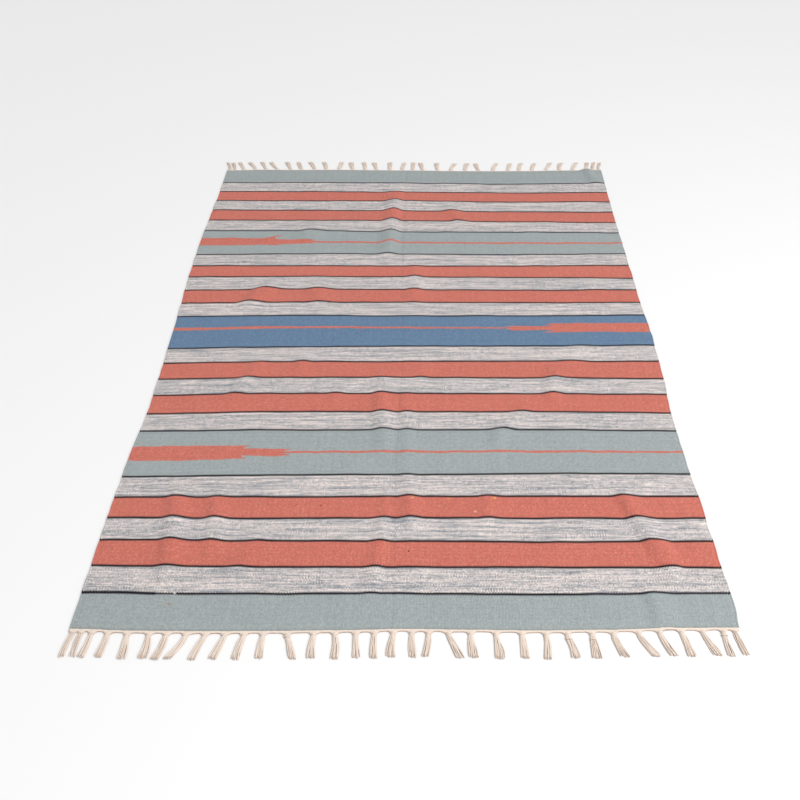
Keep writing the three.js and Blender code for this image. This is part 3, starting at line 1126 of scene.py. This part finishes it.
def tubes(lines, radius, sides, random):
    """Points, faces and corner values of one closed tube round each line."""
    points, faces, plies, count = [], [], [], 0
    for line in lines:
        points.append(tube_rings(line, radius, sides).reshape(-1, 3))
        numbers = count + np.arange(len(line) * sides).reshape(-1, sides)
        count += numbers.size
        faces += ring_quads(numbers).reshape(-1, 4).tolist()
        faces.append(numbers[0][::-1].tolist())
        faces.append(numbers[-1].tolist())
        plies.append(tube_plies(line, sides, random.uniform(0, 100)))
    return np.concatenate(points), faces, np.concatenate(plies)


class RUG_OT_tassels(bpy.types.Operator):
    """Gather the bare warps of each end into tassels that lie on the floor"""

    bl_idname = "rug.tassels"
    bl_label = "Tassels"

    def execute(self, context):
        settings = context.scene.rug.fringe
        material = bpy.data.materials.get("Undyed plied cotton warp")
        if material is None:
            raise RuntimeError("the headings are made before the tassels, which share their material")
        for name, side, rows, knots in FRINGES:
            random = np.random.default_rng(TASSEL_SEED + side)
            lines = []
            for i, row in enumerate(rows):
                low = (rows[i - 1][0] + row[0]) / 2 if i else FRINGE_INSET
                last = i + 1 == len(rows)
                high = WIDTH - FRINGE_INSET if last else (row[0] + rows[i + 1][0]) / 2
                reach = REACHES[i % len(REACHES)]
                lines += bunch(side, row, low, high, reach, settings, random)
                lines.append(tie(side, row, TIE_OUT, TIE_RADIUS, reach, settings, random))
                if row[0] in knots:
                    out = knots[row[0]]
                    for radius in LOOSE_KNOT_RADII:
                        lines.append(tie(side, row, out, radius, reach, settings, random))
            points, faces, plies = tubes(lines, settings.thickness / MM / 2, WARP_SIDES, random)
            piece = make_piece(f"{name}_tassels", points, faces, material)
            add_attribute(piece, "ply", "CORNER", plies)
            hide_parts(f"{name}_fringe")
            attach(piece, "root")
        return {"FINISHED"}


class RUG_OT_stage(bpy.types.Operator):
    """Set the floor, the soft light and the camera round the rug"""

    bl_idname = "rug.stage"
    bl_label = "Stage"

    def execute(self, context):
        scene = context.scene
        settings = scene.rug.stage
        half = FLOOR_HALF
        points = [(-half, -half, 0), (half, -half, 0), (half, half, 0), (-half, half, 0)]
        floor = make_piece("floor", points, [(0, 1, 2, 3)], matt_floor(settings))

        world = bpy.data.worlds.new("Soft studio")
        world.use_nodes = True
        background = world.node_tree.nodes["Background"]
        background.inputs["Color"].default_value = (1, 1, 1, 1)
        background.inputs["Strength"].default_value = settings.sky
        scene.world = world

        key = bpy.data.lights.new("key", "SUN")
        key.energy = settings.key
        key.angle = KEY_SPREAD
        self.aim(scene, key, KEY_PLACE, (0, 0, 0))

        softbox = bpy.data.lights.new("softbox", "AREA")
        softbox.shape = "SQUARE"
        softbox.size = SOFTBOX_SIDE
        softbox.energy = settings.softbox
        self.aim(scene, softbox, SOFTBOX_PLACE, SOFTBOX_TARGET)

        lens = bpy.data.cameras.new("camera")
        lens.lens = settings.lens
        lens.sensor_width = SENSOR
        lens.shift_x = LENS_SHIFT
        camera = bpy.data.objects.new("camera", lens)
        camera.location = CAMERA_PLACE
        camera.rotation_euler = (settings.tilt, 0, 0)
        scene.collection.objects.link(camera)
        scene.camera = camera
        scene.view_settings.view_transform = "Standard"
        return {"FINISHED"}

    def aim(self, scene, light, place, target):
        """Puts a light at a place, turned towards a target."""
        lamp = bpy.data.objects.new(light.name, light)
        lamp.location = place
        lamp.rotation_euler = (Vector(place) - Vector(target)).to_track_quat("Z", "Y").to_euler()
        scene.collection.objects.link(lamp)


class RUG_PT_pieces(bpy.types.Panel):
    """The rug's pieces and their settings"""

    bl_idname = "RUG_PT_pieces"
    bl_label = "Kilim rug"
    bl_space_type = "VIEW_3D"
    bl_region_type = "UI"
    bl_category = "Rug"

    def draw(self, context):
        settings = context.scene.rug
        parts = (
            (settings.cloth, ("rug.woven_cloth",)),
            (settings.fringe, ("rug.headings", "rug.tassels")),
            (settings.stage, ("rug.stage",)),
        )
        for group, operators in parts:
            box = self.layout.box()
            for name in group.__annotations__:
                box.prop(group, name)
            for operator in operators:
                box.operator(operator)


CLASSES = (
    ClothSettings,
    FringeSettings,
    StageSettings,
    RugSettings,
    RUG_OT_woven_cloth,
    RUG_OT_headings,
    RUG_OT_tassels,
    RUG_OT_stage,
    RUG_PT_pieces,
)


def register():
    for cls in CLASSES:
        bpy.utils.register_class(cls)
    bpy.types.Scene.rug = PointerProperty(type=RugSettings)


def unregister():
    del bpy.types.Scene.rug
    for cls in reversed(CLASSES):
        bpy.utils.unregister_class(cls)


def main():
    register()
    bpy.ops.rug.stage()
    bpy.ops.rug.woven_cloth()
    bpy.ops.rug.headings()
    bpy.ops.rug.tassels()


if __name__ == "__main__":
    main()
